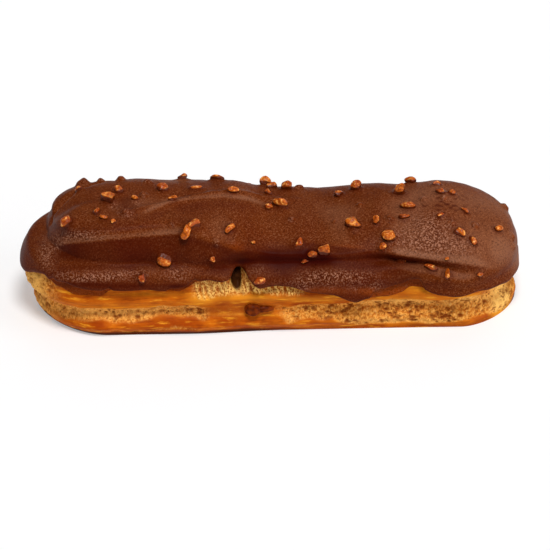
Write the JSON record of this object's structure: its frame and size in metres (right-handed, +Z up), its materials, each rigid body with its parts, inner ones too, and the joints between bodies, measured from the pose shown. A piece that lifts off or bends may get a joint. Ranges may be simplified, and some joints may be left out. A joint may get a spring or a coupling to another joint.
{
  "type": "chocolate eclair",
  "caption": "Long filled choux pastry bun on its flat foot, with a chocolate glaze over its top and sides, chopped nuts in the glaze and a dab of filling at a split in the side.",
  "frame": {"origin": "centre of the eclair's bounding box in plan, at the level of its flat foot", "axes": "+X along the eclair towards the end with the blunt glaze lobe, +Y away from the side with the dab of filling, +Z up"},
  "size_m": [0.141, 0.0484, 0.0363],
  "materials": {
    "choux": "matte",
    "glaze": "satin",
    "filling": "satin"
  },
  "bodies": {
    "root": {"choux": "choux", "glaze": "glaze", "filling": "filling"}
  },
  "joints": []
}
